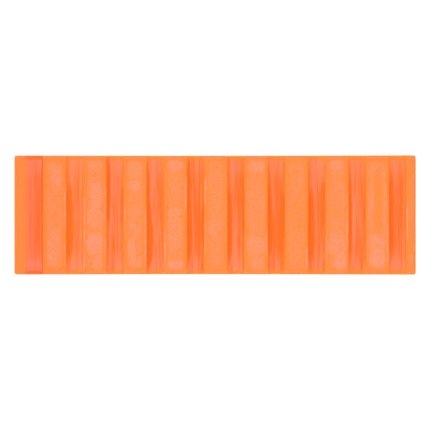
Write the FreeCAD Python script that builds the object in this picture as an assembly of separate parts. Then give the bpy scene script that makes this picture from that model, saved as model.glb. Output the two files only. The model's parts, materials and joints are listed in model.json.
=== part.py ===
import FreeCAD, Part
import math
import os

# A felling wedge: one solid plastic moulding, 250 mm long, that is hammered into the saw kerf
# behind the chain. Everything is in millimetres.
#
# The wedge is drawn in the frame of its mould: x runs from the tip to the striking face along
# the mid plane, y runs across, and z = 0 is the mid plane, which is also the parting line. Its
# two gripping faces mirror each other about that plane. The finished solid is then tilted by
# half the taper, so that it rests on its lower lands, and centred over the origin.

# ---- driving dimensions ----
LENGTH = 250.0  # overall, as it lies on its lower face
WIDTH = 74.0  # across the parting line
TIP_THICKNESS = 5.0
HALF_TAPER = math.radians(2.85)  # between the mid plane and either gripping face
SIDE_DRAFT = math.radians(2.0)  # the sides lean in from the parting line, to leave the mould

GROOVE_COUNT = 10  # across each gripping face
FIRST_GROOVE = 12.6  # from the tip to the middle of the first groove
LAST_GROOVE_TO_BUTT = 10.4  # from the middle of the last groove to the striking face
GROOVE_WIDTH = 11.0  # between its two walls, just below the lands
GROOVE_DEPTH = 4.0
GROOVE_WALL_DRAFT = math.radians(15.0)
GROOVE_CORNER_RADIUS = 2.0  # between wall and floor
TIP_RAMP_DRAFT = math.radians(74.0)  # the first groove has a ramp on its tip side, not a wall
THINNEST_WEB = 2.5  # between two opposite grooves, near the tip
LAND_BEVEL = 0.4  # where a land meets a groove wall

LONG_EDGE_RADIUS = 1.8
TIP_EDGE_RADIUS = 1.6
BUTT_EDGE_RADIUS = 0.8

# ---- worked out from them ----
MOULD_LENGTH = (LENGTH - TIP_THICKNESS * math.sin(HALF_TAPER)) * math.cos(HALF_TAPER)
GROOVE_SPAN = MOULD_LENGTH - FIRST_GROOVE - LAST_GROOVE_TO_BUTT
GROOVE_PITCH = GROOVE_SPAN / (GROOVE_COUNT - 1)
OVERRUN = 10.0  # how far a cutting shape stands out past what it cuts
NEAR = 0.01  # two places closer than this are the same place


def half_thickness(x):
    """Height of a gripping face above the mid plane, at a distance x from the tip."""
    return TIP_THICKNESS / 2 + x * math.tan(HALF_TAPER)


def prism(outline, sweep):
    """The closed outline through some points, extruded half of sweep to either side."""
    points = [FreeCAD.Vector(*point) for point in outline]
    face = Part.Face(Part.makePolygon(points + points[:1]))
    sweep = FreeCAD.Vector(*sweep)
    face.translate(sweep * -0.5)
    return face.extrude(sweep)


def edges_where(solid, test):
    """The edges whose middle passes a test."""
    return [edge for edge in solid.Edges if test(edge.CenterOfMass)]


def tapered_block():
    """The two gripping faces and the two ends, with square sides."""
    tip = half_thickness(0)
    butt = half_thickness(MOULD_LENGTH)
    side_view = [(0, 0, -tip), (MOULD_LENGTH, 0, -butt), (MOULD_LENGTH, 0, butt), (0, 0, tip)]
    return prism(side_view, (0, 2 * WIDTH, 0))


def drafted_bar():
    """A bar along x that is widest at the mid plane and leans in above and below it."""
    edge = WIDTH / 2
    top = half_thickness(MOULD_LENGTH) + OVERRUN
    top_edge = edge - top * math.tan(SIDE_DRAFT)
    upper = [(0, edge, 0), (0, top_edge, top), (0, -top_edge, top)]
    lower = [(x, -y, -z) for x, y, z in upper]
    return prism(upper + lower, (4 * LENGTH, 0, 0))


def plain_wedge():
    """The wedge before its grooves: four drafted sides, with every outer edge rounded."""
    wedge = tapered_block().common(drafted_bar())
    off_mid_plane = TIP_THICKNESS / 4
    long_edges = edges_where(
        wedge, lambda c: NEAR < c.x < MOULD_LENGTH - NEAR and abs(c.z) > off_mid_plane
    )
    wedge = wedge.makeFillet(LONG_EDGE_RADIUS, long_edges)
    tip_edges = edges_where(wedge, lambda c: c.x < NEAR)
    wedge = wedge.makeFillet(TIP_EDGE_RADIUS, tip_edges)
    butt_edges = edges_where(wedge, lambda c: c.x > MOULD_LENGTH - NEAR)
    return wedge.makeFillet(BUTT_EDGE_RADIUS, butt_edges)


def groove_depth(x):
    """Full depth, or less where the wedge is thin, so that a web is left in the middle."""
    return min(GROOVE_DEPTH, half_thickness(x) - THINNEST_WEB / 2)


def groove_cutter(x, tip_side_draft):
    """What one groove takes out of the upper gripping face, in the middle of which x lies."""
    depth = groove_depth(x)
    edge = GROOVE_WIDTH / 2
    wall = depth - LAND_BEVEL
    mouth = edge + LAND_BEVEL + OVERRUN
    profile = [
        (-mouth, 0, OVERRUN),
        (-edge, 0, -LAND_BEVEL),
        (-edge + wall * math.tan(tip_side_draft), 0, -depth),
        (edge - wall * math.tan(GROOVE_WALL_DRAFT), 0, -depth),
        (edge, 0, -LAND_BEVEL),
        (mouth, 0, OVERRUN),
    ]
    cutter = prism(profile, (0, 2 * WIDTH, 0))
    corners = edges_where(cutter, lambda c: c.z < NEAR - depth and abs(c.y) < NEAR)
    cutter = cutter.makeFillet(min(GROOVE_CORNER_RADIUS, depth / 2), corners)
    cutter.rotate(FreeCAD.Vector(), FreeCAD.Vector(0, 1, 0), -math.degrees(HALF_TAPER))
    cutter.translate(FreeCAD.Vector(x, 0, half_thickness(x)))
    return cutter


def groove_cutters():
    """Every groove of both gripping faces."""
    cutters = []
    for number in range(GROOVE_COUNT):
        tip_side_draft = TIP_RAMP_DRAFT if number == 0 else GROOVE_WALL_DRAFT
        upper = groove_cutter(FIRST_GROOVE + number * GROOVE_PITCH, tip_side_draft)
        lower = upper.mirror(FreeCAD.Vector(), FreeCAD.Vector(0, 0, 1))
        cutters += [upper, lower]
    return cutters


def at_rest(wedge):
    """Tilts the wedge onto its lower lands and centres it over the origin."""
    wedge.rotate(FreeCAD.Vector(), FreeCAD.Vector(0, 1, 0), -math.degrees(HALF_TAPER))
    box = wedge.BoundBox
    wedge.translate(FreeCAD.Vector(-box.Center.x, -box.Center.y, -box.ZMin))
    return wedge


def wedge_body():
    """The whole moulding."""
    grooved = plain_wedge().cut(groove_cutters())
    return at_rest(grooved.removeSplitter())


os.makedirs("parts", exist_ok=True)
wedge_body().exportStep("parts/wedge_body.step")
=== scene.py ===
import json
import math

import bpy
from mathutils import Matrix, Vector, noise


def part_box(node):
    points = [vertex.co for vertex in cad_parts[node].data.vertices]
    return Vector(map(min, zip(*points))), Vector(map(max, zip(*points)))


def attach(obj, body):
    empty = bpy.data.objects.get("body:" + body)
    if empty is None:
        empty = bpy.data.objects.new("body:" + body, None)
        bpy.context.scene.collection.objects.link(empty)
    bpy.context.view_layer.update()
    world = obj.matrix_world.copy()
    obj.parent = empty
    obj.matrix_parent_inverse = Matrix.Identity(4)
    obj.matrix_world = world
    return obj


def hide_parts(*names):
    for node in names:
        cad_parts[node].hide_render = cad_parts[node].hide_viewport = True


# The looks of a felling wedge: one moulding of orange plastic, drawn as one dense mesh. It is
# drawn in the frame of its mould, where x runs from the tip to the striking face, y runs across
# and z is the distance off the mid plane. Lengths are in metres.

MM = 0.001

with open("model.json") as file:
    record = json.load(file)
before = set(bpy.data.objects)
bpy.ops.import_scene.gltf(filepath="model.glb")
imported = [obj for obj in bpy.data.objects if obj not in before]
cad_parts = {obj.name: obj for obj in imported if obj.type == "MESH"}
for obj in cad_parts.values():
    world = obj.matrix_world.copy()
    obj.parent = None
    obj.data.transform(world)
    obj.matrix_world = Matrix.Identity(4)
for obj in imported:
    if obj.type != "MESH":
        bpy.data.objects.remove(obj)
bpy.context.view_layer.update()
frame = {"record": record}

# ---- where the mould's frame lies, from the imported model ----
NODE = "wedge_body"
MOUNTS = {mount["name"]: mount for mount in frame["record"]["mounts"]}
BUTT_CENTRE = Vector(MOUNTS["striking_face"]["pos_m"])
ALONG = Vector(MOUNTS["striking_face"]["axis"]).normalized()
ACROSS = Vector((0, 1, 0))
OFF_PLANE = ALONG.cross(ACROSS)
LOW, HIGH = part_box(NODE)

# ---- the wedge ----
WIDTH = HIGH.y - LOW.y
OVERALL = HIGH.x - LOW.x
TIP_THICKNESS = 5.0 * MM
HALF_TAPER = math.atan2(ALONG.z, ALONG.x)
SIDE_DRAFT = math.radians(2)
LENGTH = (OVERALL - TIP_THICKNESS * math.sin(HALF_TAPER)) * math.cos(HALF_TAPER)

# ---- its grooves ----
GROOVE_COUNT = 10
FIRST_GROOVE = 12.6 * MM
LAST_GROOVE = LENGTH - 10.4 * MM
PITCH = (LAST_GROOVE - FIRST_GROOVE) / (GROOVE_COUNT - 1)
GROOVE_EDGE = 5.5 * MM  # from the middle of a groove to either wall
GROOVE_DEPTH = 4.0 * MM
THINNEST_WEB = 2.5 * MM
WALL_DRAFT = math.radians(15)
TIP_RAMP_DRAFT = math.radians(74)

# ---- how round its edges are ----
LONG_EDGE_RADIUS = 1.8 * MM
GROOVE_END_RADIUS = 0.5 * MM
TIP_EDGE_RADIUS = 1.6 * MM
BUTT_EDGE_RADIUS = 0.8 * MM
LAND_EDGE_RADIUS = 0.45 * MM
FLOOR_CORNER_RADIUS = 2.0 * MM
LARGEST_ROUNDING = 0.8  # of a long edge, as a share of the height there

# ---- small shapes that cooling and the mould leave ----
SHAPES_START = 1 * MM  # how far from the tip and from the striking face they start
SHAPES_FADE = 3 * MM
THINNEST_SHAPED = 1 * MM  # none where the wedge is thinner than this off the mid plane
SINK = 0.16 * MM  # how far the middle of a land sinks
SINK_MARGIN = 2.4 * MM  # the land's edge, which doesn't sink
SINK_UNEVENNESS = 0.5
SINK_WAVELENGTHS = (9 * MM, 14 * MM)  # along the wedge, and across it
LIP = 0.16 * MM  # a burr along the edge of a land
LIP_WIDTH = 0.35 * MM
LIP_WAVELENGTH = 7 * MM
LIP_MEAN = 0.35  # share of its height that it has on average, and how much that varies
LIP_RANGE = 1.3
STREAK = 0.05 * MM  # ridges along a groove floor
STREAK_WAVELENGTHS = (1.5 * MM, 40 * MM)  # along the wedge, and across it
FOOT = 0.55 * MM  # how unevenly a wall runs out into the floor
FOOT_PLACE = 3.5 * MM
FOOT_WIDTH = 0.9 * MM
FOOT_WAVELENGTH = 11 * MM
FOOT_MEAN = 0.4
END_LIP = 0.5 * MM  # the low rim that closes each end of a groove
END_LIP_WIDTH = 0.35 * MM
END_LIP_SLOPE = 0.7
END_CORNER = 1.6 * MM
WAIST = 0.25 * MM  # how far the sides draw in at mid length
BUTT_SINK = 0.3 * MM  # how far the middle of the striking face sinks
PARTING_RIDGE = 0.07 * MM
PARTING_HALF_WIDTH = 0.3 * MM

# ---- how fine the mesh is ----
STEP = 0.62 * MM
ARC_STEP = math.radians(20)
FINEST_COLUMN = 0.25 * MM
COLUMN_GROWTH = 1.3
COARSEST_COLUMN = 1.3 * MM
CORNER_STEPS = 4
SIDE_STEPS = 3
TOLERANCE = 0.01 * MM


def clamp(value):
    return max(0.0, min(1.0, value))


def smooth(low, high, value):
    """0 at low, 1 at high, and an even curve between. High may be the smaller of the two."""
    share = clamp((value - low) / (high - low))
    return share * share * (3 - 2 * share)


def bump(distance, width):
    return math.exp(-((distance / width) ** 2))


def smooth_max(a, b, reach):
    """The larger of two heights, with a fillet where they are closer than reach."""
    near = max(0.0, reach - abs(a - b)) / reach
    return max(a, b) + near * near * reach / 4


def half_thickness(x):
    return TIP_THICKNESS / 2 + x * math.tan(HALF_TAPER)


def groove_depth(x):
    return min(GROOVE_DEPTH, half_thickness(x) - THINNEST_WEB / 2)


def nearest_groove(x):
    """(number of the groove nearest to x, signed distance from its middle)."""
    number = max(0, min(GROOVE_COUNT - 1, round((x - FIRST_GROOVE) / PITCH)))
    return number, x - FIRST_GROOVE - number * PITCH


# ------------------------------------------------------------------ the mesh


def add_line(path, end):
    start = path[-1]
    count = max(1, round((end - start).length / STEP))
    path += [start.lerp(end, number / count) for number in range(1, count + 1)]


def rounded_path(corners):
    """Points along a bent line of (x, z, radius) corners, each corner rounded by its radius."""
    flat = [Vector((x, z)) for x, z, _ in corners]
    path = [flat[0]]
    for before, here, after, (_, _, radius) in zip(flat, flat[1:], flat[2:], corners[1:]):
        arrive = (here - before).normalized()
        leave = (after - here).normalized()
        turn = arrive.angle_signed(leave)
        start = here - arrive * radius * math.tan(abs(turn) / 2)
        add_line(path, start)
        side = Vector((arrive.y, -arrive.x)) * math.copysign(1, turn)
        centre = start + side * radius
        spoke = start - centre
        steps = max(1, math.ceil(abs(turn) / ARC_STEP))
        for number in range(1, steps + 1):
            cos = math.cos(turn * number / steps)
            sin = -math.sin(turn * number / steps)
            path.append(centre + Vector((spoke.x * cos - spoke.y * sin, spoke.x * sin + spoke.y * cos)))
    add_line(path, flat[-1])
    return path


def groove_corners(number):
    """One groove in side view, as (x, z, radius) corners."""
    centre = FIRST_GROOVE + number * PITCH
    depth = groove_depth(centre)
    tip_draft = TIP_RAMP_DRAFT if number == 0 else WALL_DRAFT
    floor_radius = min(FLOOR_CORNER_RADIUS, depth / 2)
    level = [
        (-GROOVE_EDGE, 0, LAND_EDGE_RADIUS),
        (-GROOVE_EDGE + depth * math.tan(tip_draft), -depth, floor_radius),
        (GROOVE_EDGE - depth * math.tan(WALL_DRAFT), -depth, floor_radius),
        (GROOVE_EDGE, 0, LAND_EDGE_RADIUS),
    ]
    cos = math.cos(HALF_TAPER)
    sin = math.sin(HALF_TAPER)
    land = half_thickness(centre)
    return [(centre + x * cos - z * sin, land + x * sin + z * cos, radius) for x, z, radius in level]


def side_view():
    """The upper outline from the tip to the striking face, as (x, height) points."""
    corners = [(0, 0, 0), (0, TIP_THICKNESS / 2, TIP_EDGE_RADIUS)]
    for number in range(GROOVE_COUNT):
        corners += groove_corners(number)
    corners += [(LENGTH, half_thickness(LENGTH), BUTT_EDGE_RADIUS), (LENGTH, 0, 0)]
    return rounded_path(corners)


def column_shares():
    """Places across a gripping face as shares of its half width, crowded towards the edge."""
    distances = [0.0]
    gap = FINEST_COLUMN
    while distances[-1] < WIDTH / 2:
        distances.append(distances[-1] + gap)
        gap = min(gap * COLUMN_GROWTH, COARSEST_COLUMN)
    return [1 - distance / distances[-1] for distance in reversed(distances)]


COLUMNS = column_shares()


def half_ring(x, height):
    """The upper half of the end view at one station, from one parting line to the other, as
    (y, z, how far the surface faces up from 0 to 1)."""
    below_land = max(0, half_thickness(x) - height)
    at_an_end = x < TIP_EDGE_RADIUS or x > LENGTH - BUTT_EDGE_RADIUS
    up = 1 - smooth(0, BUTT_EDGE_RADIUS, below_land) if at_an_end else 1
    foot = WIDTH / 2 - (below_land / 2 if at_an_end else 0)
    top = foot - height * math.tan(SIDE_DRAFT)
    radius = min(max(GROOVE_END_RADIUS, LONG_EDGE_RADIUS - below_land), height * LARGEST_ROUNDING)
    right = [(share * (top - radius), height, up) for share in COLUMNS[:-1]]
    for number in range(CORNER_STEPS + 1):
        angle = math.pi / 2 * number / CORNER_STEPS
        drop = radius * (1 - math.cos(angle))
        y = top - radius * (1 - math.sin(angle))
        right.append((y, height - drop, up * math.cos(angle)))
    shoulder = height - radius
    ridge_foot = min(PARTING_HALF_WIDTH, shoulder / 2)
    for number in range(1, SIDE_STEPS + 1):
        z = shoulder + (ridge_foot - shoulder) * number / SIDE_STEPS
        right.append((foot - z * math.tan(SIDE_DRAFT), z, 0))
    right.append((foot, 0, 0))
    left = [(-y, z, up) for y, z, up in right[:0:-1]]
    return left + right


def land_relief(past_wall, y, seed):
    """How far a land stands off its plane, at a distance past the wall of a groove."""
    along_wave, across_wave = SINK_WAVELENGTHS
    from_wall = smooth(0, SINK_MARGIN, past_wall - SINK_MARGIN / 2)
    from_side = smooth(0, 3 * SINK_MARGIN, WIDTH / 2 - SINK_MARGIN - abs(y))
    waves = noise.noise(Vector((past_wall / along_wave, y / across_wave, seed)))
    uneven = 1 + SINK_UNEVENNESS * waves
    ragged = noise.noise(Vector((y / LIP_WAVELENGTH, seed * 3.1, 5.5)))
    ragged = clamp(LIP_MEAN + LIP_RANGE * ragged)
    lip = LIP * ragged * bump(past_wall - LIP_WIDTH, LIP_WIDTH)
    return lip - SINK * uneven * from_wall * from_side


def floor_relief(from_middle, y, rise, edge_distance, seed):
    """How far a groove's floor or wall stands off its plan, rise being its height off the floor."""
    fine, long = STREAK_WAVELENGTHS
    streak = noise.noise(Vector((from_middle / fine, y / long, seed)))
    uneven = noise.noise(Vector((y / FOOT_WAVELENGTH, seed, math.copysign(7.3, from_middle))))
    foot = FOOT if from_middle < 0 else FOOT / 4
    wavy = foot * clamp(FOOT_MEAN + uneven) * bump(abs(from_middle) - FOOT_PLACE, FOOT_WIDTH)
    end = END_LIP - max(0, edge_distance - END_LIP_WIDTH) * END_LIP_SLOPE
    closed = smooth_max(rise, end, END_CORNER) - rise
    on_floor = 1 - smooth(0, GROOVE_DEPTH / 3, rise)
    return STREAK * streak * on_floor + wavy + closed


def relief(x, y, height, side):
    """What the small shapes add to a gripping face's height off the mid plane."""
    number, from_middle = nearest_groove(x)
    past_wall = abs(from_middle) - GROOVE_EDGE
    seed = side * (3.7 * number + (2.1 if from_middle > 0 else 1.3))
    edge_distance = WIDTH / 2 - height * math.tan(SIDE_DRAFT) - abs(y)
    if past_wall > 0:
        fade = smooth(0, SHAPES_FADE, min(x, LENGTH - x) - SHAPES_START)
        return fade * land_relief(past_wall, y, seed)
    depth = groove_depth(x - from_middle)
    rise = height - (half_thickness(x) - depth)
    if rise > depth - LAND_EDGE_RADIUS / 2:
        return land_relief(0, y, seed)
    return floor_relief(from_middle, y, rise, edge_distance, seed)


def moulded(x, y, z, up, height, side):
    """One point with the small shapes added, and how far it faces away from the mid plane."""
    if height > THINNEST_SHAPED and SHAPES_START < x < LENGTH - SHAPES_START:
        z *= 1 + relief(x, y, height, side) / height
    waist = WAIST * math.sin(math.pi * x / LENGTH)
    if x > LENGTH - TOLERANCE:
        x -= BUTT_SINK * math.cos(math.pi * y / WIDTH) * (1 - (z / half_thickness(LENGTH)) ** 2)
    y *= 1 - waist / (WIDTH / 2)
    on_a_side = abs(y) > WIDTH / 4
    if on_a_side and abs(z) < PARTING_HALF_WIDTH / 2:
        y += math.copysign(PARTING_RIDGE, y)
    return x, y, z * side, up


def wedge_points():
    """(points, rings of point numbers), one closed ring at each station."""
    points, rings = [], []
    for x, height in side_view():
        over = half_ring(x, height)
        first = len(points)
        points += [moulded(x, y, z, up, height, 1) for y, z, up in over]
        ring = list(range(first, first + len(over)))
        if height < TOLERANCE:
            ring += ring[-2:0:-1]
        else:
            under = over[-2:0:-1]
            points += [moulded(x, y, z, up, height, -1) for y, z, up in under]
            ring += range(first + len(over), len(points))
        rings.append(ring)
    return points, rings


def ring_faces(rings):
    """A quad between each pair of neighbours on each pair of rings, without doubled corners."""
    faces = []
    for tipward, buttward in zip(rings, rings[1:]):
        for here in range(len(tipward)):
            following = (here + 1) % len(tipward)
            loop = [tipward[here], tipward[following], buttward[following], buttward[here]]
            loop = list(dict.fromkeys(loop))
            if len(loop) > 2:
                faces.append(loop)
    return faces


# ------------------------------------------------------------------ wear, and painted light and shade


# Where each land is scuffed, counted from the tip: (y, x, half length, half width, strength),
# with x measured from the middle of the land. Lengths are in millimetres, and a strength below
# zero is a patch that has stayed clean.
SCUFFS = {
    0: [],
    1: [(25, 1, 7, 3.6, 0.8), (-20, 0, 13, 4.6, 0.7), (-27, -1, 6, 3.6, 0.5), (5, 0, 16, 4.6, 0.3)],
    2: [(31, 0, 3, 4.6, 0.7), (12, 1, 9, 3.8, 0.9), (-2, 0, 6, 4.9, 0.8), (-18, 0, 7, 4.8, 1.0),
        (-29, 2, 5, 2.8, 0.7)],
    3: [(28, 0, 5, 4.6, 0.7), (18, 0, 3, 3.8, 0.8), (-4, 0, 10, 4.2, 0.6), (-21, -2, 7, 2.6, 0.9),
        (-29, 0, 4, 4.3, 0.7)],
    4: [(31, 0, 3, 4.9, 0.9), (18, 0, 12, 4.5, 0.5), (2, 0, 3, 4.4, 0.9), (-11, 0, 10, 4.5, 0.65),
        (-31, 0, 3, 4.9, 0.9)],
    5: [(0, 0, 31, 4.6, 0.3), (18, 0, 6, 4.5, 0.4), (-7, 0, 7, 4.5, 0.6), (-24, 0, 8, 4.5, 0.3)],
    6: [(30, 0, 4, 5.0, 0.8), (5, 0, 22, 5.5, 0.5), (-19, 0, 6, 5.6, 0.8), (-30, 1, 4, 4.2, 0.7)],
    7: [(21, 0, 12, 4.7, 0.4), (19, 0, 5, 1.8, 0.4), (-15, -1, 9, 4.2, 0.45), (0, 1, 9, 4.4, -0.4)],
    8: [(31, 0, 3, 4.6, 0.9), (9, 3, 24, 1.8, 0.5), (5, -1, 20, 4.0, 0.35), (-18, 0, 7, 5.2, 0.8),
        (-29, 2, 5, 3.7, 1.0)],
    9: [(27, 0, 5, 5.8, 0.5), (5, -3.7, 18, 1.8, 0.6), (5, 4.5, 18, 1.4, 0.5),
        (-17, 0, 6, 5.2, 0.8), (-27, 0, 6, 5.0, 1.0), (9, 0.6, 20, 2.6, -0.9)],
    10: [(-28, 0, 4, 1.4, 0.5), (5, 1, 20, 1.2, 0.2)],
}
SCUFF_SOFTNESS = 0.22  # how wide a scuff's edge is, either side of it, as a share of its size
SCUFF_MIDDLE = 0.85  # how strong the inside of a scuff is
SCUFF_OUTLINE = 1.3  # and its outline, where that shows
OUTLINE_PLACE = 0.95  # where the outline runs, as a share of the scuff's size
OUTLINE_WIDTH = 0.11
OUTLINE_NOISE = 1.9
OUTLINE_WAVELENGTHS = (5 * MM, 6 * MM)  # along the wedge, and across it
FRAME = 2.3 * MM  # the clean border that a scuffed land keeps beside its grooves
END_FRAME = 3.6 * MM  # and at its two ends
FRAME_CORNER = 3.0 * MM
FRAME_EDGE = (-0.4 * MM, 0.6 * MM)  # where the haze starts and is full, from that border
FRAME_LINE = 1 * MM  # from the border to the pale line inside it
FRAME_LINE_WIDTH = 0.6 * MM
FRAME_LINE_END = (10 * MM, 6 * MM)  # how far from a side that line starts and is full
FRAME_LINE_HAZE = 2  # how pale that line is, against the haze of the land
BASE_HAZE = 0.36  # everywhere on a land between two grooves
END_LAND_HAZE = 0.12  # and on the two outermost lands

# Painted highlights along the edges of the lands, where an edge catches the light: (groove, -1 for
# its tipward edge or 1 for the other, y, half length, strength), in millimetres.
EDGE_HIGHLIGHTS = [
    (1, -1, 4, 15, 0.8), (1, -1, -24, 8, 0.5), (1, 1, -6, 20, 0.7), (1, 1, -26, 9, 1.0),
    (2, -1, -4, 28, 0.4), (2, 1, -2, 9, 0.5), (3, -1, -14, 20, 0.7), (3, 1, -20, 12, 0.9),
    (4, -1, 12, 12, 1.0), (4, 1, 14, 9, 1.0), (4, 1, -14, 12, 0.5), (5, -1, 4, 22, 0.4),
    (6, -1, -18, 9, 0.8), (7, -1, -27, 8, 1.0), (7, 1, -22, 9, 0.6), (8, -1, -4, 18, 0.9),
    (9, -1, -18, 14, 1.0), (9, -1, 6, 8, 0.5), (9, 1, -4, 12, 0.8),
]
EDGE_HIGHLIGHT_PLACE = 0.5 * MM  # from the groove's wall
EDGE_HIGHLIGHT_WIDTH = 0.38 * MM
EDGE_HIGHLIGHT_FADE = (0.6, 1.0)  # where a painted highlight starts to fade and ends, as shares of its half length
EDGE_HIGHLIGHT_WAVELENGTH = 3 * MM
EDGE_HIGHLIGHT_MEAN = 0.7
EDGE_HIGHLIGHT_HEIGHT = 2  # how pale a painted highlight of strength 1 gets

# Painted light and shade on each groove's floor: how red the painted shade makes it half way
# along it, then how strong the painted highlight lines are on it: the one beside its tipward dark
# band, and the one beside its buttward wall.
FLOORS = [
    (0.55, 0.0, 1.0), (0.05, 0.0, 1.0), (0.0, 0.9, 0.5), (0.15, 0.5, 0.2), (0.8, 0.9, 0.0),
    (0.3, 0.3, 0.1), (0.85, 0.9, 0.0), (0.2, 0.0, 0.4), (0.25, 0.9, 0.2), (0.6, 0.4, 0.8),
]
# Painted shade: the dark bands beside a groove's walls, where the walls shade its floor: (groove,
# -1 for its tipward wall or 1 for the other, y, half length, reach from the wall), in millimetres.
SHADE_BANDS = [
    (0, 1, -2, 34, 3.4), (1, -1, -5, 31, 4.4), (2, -1, 15, 26, 2.6), (2, 1, 6, 16, 2.2),
    (3, -1, -14, 26, 3.5), (3, -1, 14, 22, 1.9), (4, -1, -8, 28, 2.8), (4, -1, 18, 18, 2.0),
    (4, 1, -7, 18, 2.3), (5, -1, -6, 29, 3.0), (5, 1, 6, 24, 2.5), (6, -1, -1, 31, 2.5),
    (6, 1, -1, 20, 3.1), (7, -1, -6, 30, 4.0), (7, 1, 7, 20, 3.0), (8, -1, -2, 33, 2.2),
    (8, 1, 0, 26, 1.3), (9, -1, -1, 33, 3.0),
]
BAND_EDGE = 0.8 * MM  # how softly a band ends
BAND_TAPER = 0.6  # how much of a band's reach is lost at its two ends
BAND_FADE = (0.55, 1.0)  # where a band starts to fade and ends, as shares of its half length
BAND_WANDER = 0.4 * MM
BAND_WAVELENGTH = 7 * MM
FIRST_BAND = 0.5  # how dark the one band of the first groove is, against the others
LINE_WIDTH = 0.5 * MM
WALL_LINE = 1.5 * MM  # from the buttward wall to its painted highlight line
WALL_SHADE = 0.5  # how dark the painted shade at the foot of a wall is
SHADE_ENDS = (2 * MM, 12 * MM)  # how far from a groove's end that shade starts and is full
RED_ENDS = (2 * MM, 20 * MM)  # and the painted shade that reddens its floor
BUTTWARD_REDNESS = 0.3  # how much redder painted shade makes a floor at its buttward wall
PALE_FLOOR = 0.8  # how pale a floor is with no painted shade and no painted highlight line
RED_DARKENS = 0.55
LINE_LIGHTENS = 0.65
TONE_EDGE = (-0.3 * MM, 0.7 * MM)  # where the painted shade starts and is full, from a wall
GROOVE_CORNER = 1.5 * MM  # how round a groove looks at its ends, from above
RIM = 1.7 * MM  # the clean rim just inside that outline
OUTLINE_EDGE = (-0.4 * MM, 0.2 * MM)  # where a groove's tone starts and is full, from there
WIDENING = (2 * MM, 10 * MM)  # how far from a groove's end the rim beside its walls has half its
# width, and all of it
RAMP_EDGE = (-0.3 * MM, 1.6 * MM)  # where the tone of the first groove's ramp starts and is full
RECESSED = (0.02, 0.1)  # how deep, as a share of the groove's depth, its tone starts and is full


def land_at(x):
    """(number of the land nearest to x, distance from its middle, half its length)."""
    number, from_middle = nearest_groove(x)
    land = number + (1 if from_middle > 0 else 0)
    if land == 0:
        start = 0
        end = FIRST_GROOVE - GROOVE_EDGE
    elif land == GROOVE_COUNT:
        start = LAST_GROOVE + GROOVE_EDGE
        end = LENGTH
    else:
        start = FIRST_GROOVE + (land - 1) * PITCH + GROOVE_EDGE
        end = start + PITCH - 2 * GROOVE_EDGE
    return land, x - (start + end) / 2, (end - start) / 2


def inset(a, b, corner):
    """How far inside a round-cornered outline a point is, a and b from its nearest two sides."""
    if a < corner and b < corner:
        return corner - math.hypot(corner - a, corner - b)
    return min(a, b)


def scuff_haze(x, y):
    """How scuffed a land is at a point, from 0 to about 1. The outline of a scuff is palest, in
    places, and so are the two ends of the part that scuffs can reach."""
    land, from_middle, half = land_at(x)
    along_wave, across_wave = OUTLINE_WAVELENGTHS
    waves = noise.noise(Vector((x / along_wave, y / across_wave, 3.3 * land)))
    outlined = clamp(OUTLINE_NOISE * waves)
    from_side = WIDTH / 2 - abs(y)
    in_frame = inset(half - FRAME - abs(from_middle), from_side - END_FRAME, FRAME_CORNER)
    base = BASE_HAZE if 0 < land < GROOVE_COUNT else END_LAND_HAZE
    haze = base * smooth(*FRAME_EDGE, in_frame)
    at_end = smooth(*FRAME_LINE_END, from_side)
    line = bump(in_frame - FRAME_LINE, FRAME_LINE_WIDTH)
    haze = max(haze, FRAME_LINE_HAZE * base * at_end * outlined * line)
    for middle_y, middle_x, half_length, half_width, strength in SCUFFS[land]:
        along_scuff = abs(y - middle_y * MM) / (half_length * MM)
        across_scuff = abs(from_middle - middle_x * MM) / (half_width * MM)
        away = (across_scuff**3 + along_scuff**3) ** (1 / 3)
        within = 1 - smooth(1 - SCUFF_SOFTNESS, 1 + SCUFF_SOFTNESS, away)
        if strength < 0:
            haze *= 1 + strength * within
        else:
            outline = SCUFF_OUTLINE * outlined * bump(away - OUTLINE_PLACE, OUTLINE_WIDTH)
            haze = max(haze, strength * max(SCUFF_MIDDLE * within, outline))
    return haze


def painted_edge_highlights(x, y):
    """Painted highlights along the edges of a land: how pale they make it."""
    groove, from_middle = nearest_groove(x)
    haze = 0.0
    for number, side, middle, half_length, strength in EDGE_HIGHLIGHTS:
        if number == groove and side * from_middle > 0:
            near = 1 - smooth(*EDGE_HIGHLIGHT_FADE, abs(y / MM - middle) / half_length)
            ragged = EDGE_HIGHLIGHT_MEAN + noise.noise(Vector((y / EDGE_HIGHLIGHT_WAVELENGTH, 3.3 * number, side)))
            haze = max(haze, EDGE_HIGHLIGHT_HEIGHT * strength * near * ragged)
    return haze * bump(abs(from_middle) - GROOVE_EDGE - EDGE_HIGHLIGHT_PLACE, EDGE_HIGHLIGHT_WIDTH)


def shade_band_reach(groove, side, y):
    """(how far a band of painted shade reaches from one wall of a groove, how strong it is there)."""
    reach, strength = 0.0, 0.0
    for number, wall, middle, half_length, furthest in SHADE_BANDS:
        if number == groove and wall == side:
            away = min(1.0, abs(y / MM - middle) / half_length)
            reach = max(reach, furthest * MM * (1 - BAND_TAPER * away**2))
            strength = max(strength, 1 - smooth(*BAND_FADE, away))
    wander = noise.noise(Vector((y / BAND_WAVELENGTH, 4.4 * groove, side)))
    return reach + BAND_WANDER * wander, strength


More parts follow.
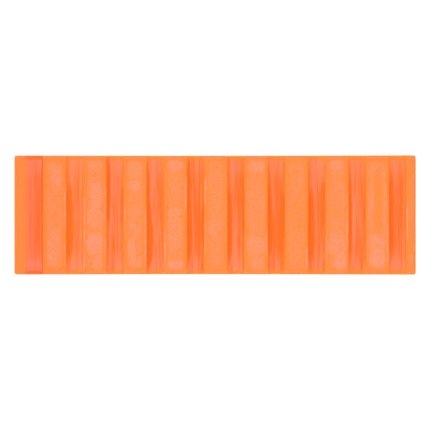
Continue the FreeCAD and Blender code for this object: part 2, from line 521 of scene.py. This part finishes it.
def groove_tones(groove, from_middle, y, end):
    """(how much painted shade darkens a groove at a point, from 0 to 1, how pale its floor is, up to
    about 1.5, which painted shade lowers and painted highlight lines raise). end is the distance
    from the groove's end."""
    from_tip = from_middle + GROOVE_EDGE
    from_butt = GROOVE_EDGE - from_middle
    from_wall = min(from_tip, from_butt)
    red, tip_line, butt_line = FLOORS[groove]
    tip_reach, tip_strength = shade_band_reach(groove, -1, y)
    butt_reach, butt_strength = shade_band_reach(groove, 1, y)
    tip_band = tip_strength * smooth(-BAND_EDGE, BAND_EDGE, tip_reach - from_tip)
    butt_band = butt_strength * smooth(-BAND_EDGE, BAND_EDGE, butt_reach - from_butt)
    line = tip_line * bump(from_tip - tip_reach - BAND_EDGE, LINE_WIDTH)
    line = max(line, butt_line * bump(from_butt - WALL_LINE, LINE_WIDTH))
    shaded = from_wall
    if groove == 0:
        tip_band = 0.0
        butt_band *= FIRST_BAND
        red *= smooth(0, 2 * GROOVE_EDGE, from_tip)
        shaded = from_butt
    # painted shade at the foot of each wall, fading towards the groove's ends
    wall = WALL_SHADE * smooth(*SHADE_ENDS, end) * smooth(RIM, RIM / 3, shaded)
    dark = max(tip_band, butt_band * (1 - line), wall)
    dark *= smooth(*TONE_EDGE, from_wall)
    # painted shade that reddens the floor half way along, less towards its ends and more at its
    # buttward wall
    red_shade = red * smooth(*RED_ENDS, end)
    red_shade += BUTTWARD_REDNESS * smooth(0, 2 * GROOVE_EDGE, from_tip)
    return dark, PALE_FLOOR - RED_DARKENS * red_shade + LINE_LIGHTENS * line


# attributes of real wear, and of painted light and shade
WEAR_AND_SHADING_NAMES = ("scuffed", "edge_highlighted", "groove", "dark", "pale", "rim", "end", "up")


def wear_and_shading_at(x, y, z, up):
    """At a point of the moulding: how scuffed a land is, and how pale the painted highlights on its
    edges make it; whether it is in a groove, how much painted shade darkens it, how pale the painted
    light and shade of a groove's floor leave it, and how close to the rim; the distance from the side
    in millimetres; and how far it faces up."""
    groove, from_middle = nearest_groove(x)
    from_side = WIDTH / 2 - abs(z) * math.tan(SIDE_DRAFT) - abs(y)
    recess = (half_thickness(x) - abs(z)) / groove_depth(x - from_middle)
    in_groove = smooth(*RECESSED, recess) if abs(from_middle) < GROOVE_EDGE + 1 * MM else 0.0
    from_wall = GROOVE_EDGE - abs(from_middle)
    if groove == 0 and from_middle < 0:
        in_groove = max(in_groove, smooth(*RAMP_EDGE, from_wall))
        from_wall = WIDTH
    narrower = 2 - smooth(*WIDENING, from_side)
    outline = inset(from_wall * narrower, from_side / 2, GROOVE_CORNER)
    rim = smooth(RIM, RIM / 3, outline)
    in_groove *= smooth(*OUTLINE_EDGE, outline)
    dark, pale = groove_tones(groove, from_middle, y, from_side)
    land = (1 - in_groove) * up
    haze = scuff_haze(x, y) * land
    highlights = painted_edge_highlights(x, y) * land
    return haze, highlights, in_groove * up, dark, pale, rim, from_side / MM, up


def build_wedge():
    points, rings = wedge_points()
    place = [
        BUTT_CENTRE + ALONG * (x - LENGTH) + ACROSS * y + OFF_PLANE * z for x, y, z, _ in points
    ]
    mesh = bpy.data.meshes.new("felling_wedge")
    mesh.from_pydata(place, [], ring_faces(rings))
    mesh.validate()
    mesh.shade_smooth()
    mould = mesh.attributes.new("mould_mm", "FLOAT_VECTOR", "POINT")
    mould.data.foreach_set("vector", [value / MM for point in points for value in point[:3]])
    wear_and_shading = [wear_and_shading_at(*point) for point in points]
    for name, values in zip(WEAR_AND_SHADING_NAMES, zip(*wear_and_shading)):
        mesh.attributes.new(name, "FLOAT", "POINT").data.foreach_set("value", values)
    wedge = bpy.data.objects.new("felling_wedge", mesh)
    bpy.context.scene.collection.objects.link(wedge)
    return wedge


# ------------------------------------------------------------------ materials


# Colours of the plastic.
BODY = (0.97, 0.195, 0.023, 1)
DEEP = (0.95, 0.155, 0.012, 1)  # darker tone: painted shade on groove floors, in the dark bands, at the thin tip and on edges that turn down, and the mottle's darker flecks
RIM_TONE = (0.98, 0.235, 0.022, 1)  # where a groove's wall turns into the land
FIRST_GROOVE_SHADE = (0.93, 0.122, 0.012, 1)  # painted shade in the first groove
# pale haze of real scuffs and rubbing, also used for the painted sheen in the grooves and the painted
# highlights on the lands' edges
HAZE_AND_SHEEN = (0.95, 0.45, 0.58, 1)
FULL_HAZE = 0.165  # share of HAZE_AND_SHEEN in plastic whose wear and painted light add up to 1

NOISE_LOW = 0.3  # most of a noise lies between these
NOISE_HIGH = 0.7

# Haze on the lands, sides and ends. A unit of the noise is 1 / its grain, in millimetres.
CLOUD_GRAIN = (0.3, 0.22, 0.2)
CLOUD = 0.18  # how much large patches add to a scuff, or take from it
SPECKLE_GRAIN = (1.3, 1.1, 1.0)
SPECKLE = 0.38
SCRATCHES = ((38, 2.4), (-52, 2.0))  # (turn in degrees, grain across the scratches)
SCRATCH_GRAIN = 0.14  # along them
SCRATCH = 0.8
RUB_GRAIN = (0.25, 0.4, 0.6)
SIDE_RUB = 0.45  # how pale the sides and ends are rubbed, against the lands
SEAM_CORE = 0.15  # in millimetres off the mid plane, where the parting line is palest
SEAM_EDGE = 0.5  # and where it ends
SEAM = 2.0  # how pale it is, against the most rubbed places on the sides

# Grooves: real streaks along the floors, paled by a painted sheen, most at a groove's ends. Distances
# from the tip, or from a groove's end, are in millimetres.
WIDE_STREAK_GRAIN = (0.75, 0.025, 0.3)
WIDE_STREAK = 0.4
THIN_STREAK_GRAIN = (2.6, 0.04, 0.3)
THIN_STREAK = 0.45
TIP_STREAKS = 0.5  # how strong streaks are near the tip
STREAKS_WEAK = 30.0  # from the tip to here
TIP_REACH = 110.0  # where streaks and colour are no longer changed by being near the tip
END_STREAKS = 1.9  # how strong streaks are at a groove's ends
END_STREAKS_REACH = 5.0  # from its end to here, and then fading
TORN_REACH = 14.0  # where the torn pale patches and strong streaks at a groove's end give out
TORN_FULL = 4.0  # and where they are full
TORN_RAGGED = 11.0  # how far a streak moves that
TORN = 0.4
FIRST_FLOOR_END = 18.0
FIRST_FLOOR = 0.9  # share of FIRST_GROOVE_SHADE, painted shade, in the first groove
FULL_SHINE = 1.2
DULL_FLOOR = 0.95  # share of DEEP, painted shade, where a floor has no painted sheen
SHINY_FLOOR = 0.25  # and at full shine
# how much haze the painted sheen on a groove's floor adds
SHINE_HAZE = 0.5

# The rest of the plastic.
MOTTLE_GRAIN = (0.6, 0.6, 0.6)
MOTTLE = 0.3
TIP_DEPTH = 0.5  # painted shade at the thin tip: share of DEEP there
EDGE_DEPTH = 0.9  # painted shade on edges that turn down to the sides and ends: share of DEEP there
EDGE_HIGHLIGHT_HAZE = 1.3
CLEAN_ROUGHNESS = 0.36
WORN_ROUGHNESS = 0.55
LAND_GLOSS = 0.34
DULL_GLOSS = 0.1  # of a groove's floor without shine
SHINY_GLOSS = 0.4
RELIEF = 0.4  # how high mottle and scuffs stand, against a groove's streaks
RELIEF_DEPTH = 0.1 * MM
RELIEF_STRENGTH = 0.25
SUBSURFACE = 0.3
SUBSURFACE_RADII = (1.0, 0.35, 0.1)
SUBSURFACE_DEPTH = 2.0 * MM

TABLE_TONE = (0.8, 0.8, 0.8, 1)
TABLE_GLOW = 0.45  # seen from straight above, and none from the side
TABLE_GRAIN = 400.0  # in a metre
TABLE_ROUGHNESS = (0.7, 0.9)


def connect(tree, socket, value):
    if isinstance(value, bpy.types.NodeSocket):
        tree.links.new(value, socket)
    else:
        socket.default_value = value


def add(tree, kind, inputs, output=0, **settings):
    """Adds a node, fills its inputs, and returns one of its outputs."""
    node = tree.nodes.new(kind)
    for name, value in settings.items():
        setattr(node, name, value)
    for name, value in inputs.items():
        connect(tree, node.inputs[name], value)
    return node.outputs[output]


def maths(tree, operation, a, b=0.0):
    return add(tree, "ShaderNodeMath", {0: a, 1: b}, operation=operation)


def spread(tree, value, low, high, to_low=0.0, to_high=1.0):
    """value from low to high becomes to_low to to_high, along an even curve."""
    inputs = {"Value": value, "From Min": low, "From Max": high, "To Min": to_low, "To Max": to_high}
    return add(tree, "ShaderNodeMapRange", inputs, interpolation_type="SMOOTHSTEP")


def mix(tree, share, a, b):
    inputs = {0: share, 6: a, 7: b}
    return add(tree, "ShaderNodeMix", inputs, output=2, data_type="RGBA")


def stretched(tree, place, scale, turn=0.0):
    """place turned about z, then scaled along each axis."""
    inputs = {"Vector": place, "Rotation": (0, 0, turn)}
    turned = add(tree, "ShaderNodeMapping", inputs)
    return add(tree, "ShaderNodeMapping", {"Vector": turned, "Scale": scale})


def grain(tree, place, scale, turn=0.0, detail=2.0):
    """Noise about 0.5, one unit of it being 1/scale millimetres along each axis."""
    inputs = {"Vector": stretched(tree, place, scale, turn), "Scale": 1.0, "Detail": detail}
    return add(tree, "ShaderNodeTexNoise", inputs)


def attribute(tree, name, output="Fac"):
    return add(tree, "ShaderNodeAttribute", {}, output=output, attribute_name=name)


def times(tree, a, b):
    return maths(tree, "MULTIPLY", a, b)


def plus(tree, a, b):
    return maths(tree, "ADD", a, b)


def larger(tree, a, b):
    return maths(tree, "MAXIMUM", a, b)


def coordinate(tree, vector, axis):
    return add(tree, "ShaderNodeSeparateXYZ", {0: vector}, output=axis)


def by_place(tree, place, start, end, at_start, at_end):
    """Changes from one value to another between two distances from the tip, in millimetres."""
    return spread(tree, coordinate(tree, place, "X"), start, end, at_start, at_end)


def seam(tree, place):
    """The pale parting line round the sides and the two ends."""
    off_plane = maths(tree, "ABSOLUTE", coordinate(tree, place, "Z"))
    return spread(tree, off_plane, SEAM_CORE, SEAM_EDGE, SEAM, 0.0)


def land_haze(tree, place):
    """How pale the scuffed lands are: speckled patches with ragged edges, and fine scratches. The
    sides and ends are rubbed, with a pale parting line."""
    scuffed = attribute(tree, "scuffed")
    cloud = spread(tree, grain(tree, place, CLOUD_GRAIN, detail=4.0), 0.25, 0.75, -CLOUD, CLOUD)
    speckle = grain(tree, place, SPECKLE_GRAIN, detail=4.0)
    speckle = spread(tree, speckle, NOISE_LOW, NOISE_HIGH, -SPECKLE, SPECKLE)
    uneven = times(tree, plus(tree, cloud, speckle), spread(tree, scuffed, 0.0, 0.3))
    haze = spread(tree, plus(tree, scuffed, uneven), -0.05, 1.2, 0.0, 1.0)
    rubbed = times(tree, maths(tree, "SUBTRACT", 1.0, attribute(tree, "up")), SIDE_RUB)
    rubbing = spread(tree, grain(tree, place, RUB_GRAIN, detail=5.0), 0.35, 0.75)
    haze = larger(tree, haze, times(tree, rubbed, larger(tree, rubbing, seam(tree, place))))
    for turn, fineness in SCRATCHES:
        scale = (fineness, SCRATCH_GRAIN, 1.0)
        scratch = grain(tree, place, scale, turn=math.radians(turn), detail=1.0)
        scratch = times(tree, spread(tree, scratch, 0.6, 0.72), spread(tree, scuffed, 0.2, 0.8))
        haze = plus(tree, haze, times(tree, scratch, SCRATCH))
    return haze


def groove_shine(tree, place):
    """How much painted sheen pales a groove's floor: along lengthwise streaks, and at torn pale ends.
    """
    end = attribute(tree, "end")
    wide = grain(tree, place, WIDE_STREAK_GRAIN)
    wide = spread(tree, wide, NOISE_LOW, NOISE_HIGH, -WIDE_STREAK, WIDE_STREAK)
    thin = grain(tree, place, THIN_STREAK_GRAIN)
    thin = spread(tree, thin, NOISE_LOW, NOISE_HIGH, -THIN_STREAK, THIN_STREAK)
    by_tip = by_place(tree, place, STREAKS_WEAK, TIP_REACH, TIP_STREAKS, 1.0)
    by_end = spread(tree, end, TORN_REACH, END_STREAKS_REACH, 1.0, END_STREAKS)
    streaks = times(tree, times(tree, plus(tree, wide, thin), by_tip), by_end)
    torn = plus(tree, end, times(tree, streaks, TORN_RAGGED))
    ends = spread(tree, torn, TORN_REACH, TORN_FULL, 0.0, TORN)
    return plus(tree, plus(tree, attribute(tree, "pale"), streaks), ends)


def faces_up(tree):
    """1 on the gripping faces, and 0 on the sides and ends."""
    return spread(tree, attribute(tree, "up"), 0.1, 0.8)


def plastic_tone(tree, place, shine, mottle, unshaded, open_floor):
    """The plastic's colour before any haze, with painted shade in the grooves, at the thin tip and on
    edges that turn down.
    """
    groove = attribute(tree, "groove")
    # painted shade on a groove's floor, strongest where it has no painted sheen
    floor_shade = spread(tree, shine, 0.0, FULL_SHINE, DULL_FLOOR, SHINY_FLOOR)
    dark = larger(tree, attribute(tree, "dark"), times(tree, floor_shade, open_floor))
    deep = times(tree, dark, groove)
    # painted shade at the thin tip
    deep = larger(tree, deep, by_place(tree, place, 0.0, TIP_REACH, TIP_DEPTH, 0.0))
    deep = larger(tree, deep, spread(tree, mottle, NOISE_LOW, NOISE_HIGH, 0.0, MOTTLE))
    # painted shade on edges that turn down to the sides and ends
    deep = larger(tree, deep, spread(tree, faces_up(tree), 0.6, 0.9, EDGE_DEPTH, 0.0))
    tone = mix(tree, deep, BODY, DEEP)
    rim = times(tree, times(tree, attribute(tree, "rim"), unshaded), groove)
    tone = mix(tree, rim, tone, RIM_TONE)
    # painted shade in the first groove
    in_first = by_place(tree, place, FIRST_FLOOR_END, FIRST_FLOOR_END + 1, FIRST_FLOOR, 0.0)
    return mix(tree, times(tree, groove, in_first), tone, FIRST_GROOVE_SHADE)


def orange_plastic():
    """Glossy orange plastic, scuffed pale on its lands and streaked along its grooves, with painted
    shade in the grooves, a painted sheen on their floors and painted highlights on the lands' edges.
    """
    material = bpy.data.materials.new("orange_plastic")
    material.use_nodes = True
    tree = material.node_tree
    place = attribute(tree, "mould_mm", "Vector")
    groove = attribute(tree, "groove")
    # 1 outside the painted shade of the grooves' dark bands and wall feet
    unshaded = maths(tree, "SUBTRACT", 1.0, attribute(tree, "dark"))
    open_floor = maths(tree, "SUBTRACT", 1.0, attribute(tree, "rim"))
    mottle = grain(tree, place, MOTTLE_GRAIN, detail=3.0)
    scuff = land_haze(tree, place)
    # painted sheen on the groove floors, kept off the painted shade and the rim
    shine = times(tree, times(tree, groove_shine(tree, place), unshaded), open_floor)
    shine = spread(tree, shine, 0.0, 1.5, 0.0, 1.5)

    # real scuffs, with painted sheen on the groove floors
    wear_and_painted_light = plus(tree, scuff, times(tree, times(tree, shine, SHINE_HAZE), groove))
    # painted highlights along the lands' edges
    wear_and_painted_light = plus(tree, wear_and_painted_light, times(tree, attribute(tree, "edge_highlighted"), EDGE_HIGHLIGHT_HAZE))
    tone = plastic_tone(tree, place, shine, mottle, unshaded, open_floor)
    colour = mix(tree, times(tree, wear_and_painted_light, FULL_HAZE), tone, HAZE_AND_SHEEN)

    dulled = plus(tree, wear_and_painted_light, mottle)
    roughness = spread(tree, dulled, 0.3, 1.6, CLEAN_ROUGHNESS, WORN_ROUGHNESS)
    floor_gloss = spread(tree, shine, 0.0, FULL_SHINE, DULL_GLOSS, SHINY_GLOSS)
    gloss = add(tree, "ShaderNodeMix", {0: groove, 2: LAND_GLOSS, 3: floor_gloss})
    height = plus(tree, times(tree, mottle, RELIEF), times(tree, shine, groove))
    height = plus(tree, height, times(tree, scuff, RELIEF))
    bumps = {"Height": height, "Strength": RELIEF_STRENGTH, "Distance": RELIEF_DEPTH}
    normal = add(tree, "ShaderNodeBump", bumps)

    shader = tree.nodes["Principled BSDF"]
    connect(tree, shader.inputs["Base Color"], colour)
    connect(tree, shader.inputs["Roughness"], roughness)
    connect(tree, shader.inputs["Specular IOR Level"], times(tree, gloss, faces_up(tree)))
    connect(tree, shader.inputs["Normal"], normal)
    connect(tree, shader.inputs["Subsurface Weight"], SUBSURFACE)
    connect(tree, shader.inputs["Subsurface Radius"], SUBSURFACE_RADII)
    connect(tree, shader.inputs["Subsurface Scale"], SUBSURFACE_DEPTH)
    return material


def white_table():
    """Pale matt board that glows upwards, as a light table does."""
    material = bpy.data.materials.new("white_table")
    material.use_nodes = True
    tree = material.node_tree
    place = add(tree, "ShaderNodeTexCoord", {}, output="Object")
    inputs = {"Vector": place, "Scale": TABLE_GRAIN, "Detail": 4.0}
    tooth = add(tree, "ShaderNodeTexNoise", inputs)
    facing = add(tree, "ShaderNodeLayerWeight", {}, output="Facing")
    shader = tree.nodes["Principled BSDF"]
    connect(tree, shader.inputs["Base Color"], TABLE_TONE)
    roughness = spread(tree, tooth, NOISE_LOW, NOISE_HIGH, *TABLE_ROUGHNESS)
    connect(tree, shader.inputs["Roughness"], roughness)
    connect(tree, shader.inputs["Emission Color"], (1, 1, 1, 1))
    connect(tree, shader.inputs["Emission Strength"], spread(tree, facing, 0.1, 0.5, TABLE_GLOW, 0.0))
    return material


# ------------------------------------------------------------------ studio

LOW_LIGHT = 1.6  # radiance of the light tent's walls
TOP_LIGHT = 1.24  # and of its roof
WALL_TOP = 0.62  # sine of the elevation where the walls end
WALL_BLUR = 0.12  # and how softly they do, either side of it
LEFT_TO_RIGHT = 0.1  # how much brighter its left side is than its middle
TABLE_SIZE = 30  # in metres, to fill the picture from any side
FURTHEST_SEEN = 100  # by the camera, in metres
LENS = 1000.0
SENSOR = 36.0
FRAME_TO_WEDGE = 1.069  # width of the picture against the wedge's length


def light_tent():
    """Soft light from all round, strongest from low down."""
    world = bpy.data.worlds.new("light_tent")
    world.use_nodes = True
    tree = world.node_tree
    direction = add(tree, "ShaderNodeTexCoord", {}, output="Generated")
    above = coordinate(tree, direction, "Z")
    radiance = spread(tree, above, WALL_TOP - WALL_BLUR, WALL_TOP + WALL_BLUR, LOW_LIGHT, TOP_LIGHT)
    lean = maths(tree, "MULTIPLY_ADD", coordinate(tree, direction, "X"), -LEFT_TO_RIGHT)
    lean.node.inputs[2].default_value = 1.0
    background = tree.nodes["Background"]
    connect(tree, background.inputs["Strength"], times(tree, radiance, lean))
    connect(tree, background.inputs["Color"], (1, 1, 1, 1))
    bpy.context.scene.world = world


def table():
    """The board under the wedge, low enough to clear the burrs of the lower lands."""
    bpy.ops.mesh.primitive_plane_add(size=TABLE_SIZE, location=(0, 0, -LIP))
    board = bpy.context.object
    board.name = "white_table"
    board.data.materials.append(white_table())


def camera_above():
    """Straight above the wedge, with a lens long enough to show its two ends at one scale."""
    data = bpy.data.cameras.new("camera")
    data.lens = LENS
    data.sensor_width = SENSOR
    data.clip_end = FURTHEST_SEEN
    camera = bpy.data.objects.new("camera", data)
    distance = OVERALL * FRAME_TO_WEDGE * LENS / SENSOR
    camera.location = (0, 0, HIGH.z / 2 + distance)
    bpy.context.scene.collection.objects.link(camera)
    bpy.context.scene.camera = camera


wedge = build_wedge()
wedge.data.materials.append(orange_plastic())
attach(wedge, "root")
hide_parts(NODE)

light_tent()
table()
camera_above()
bpy.context.scene.view_settings.view_transform = "Standard"
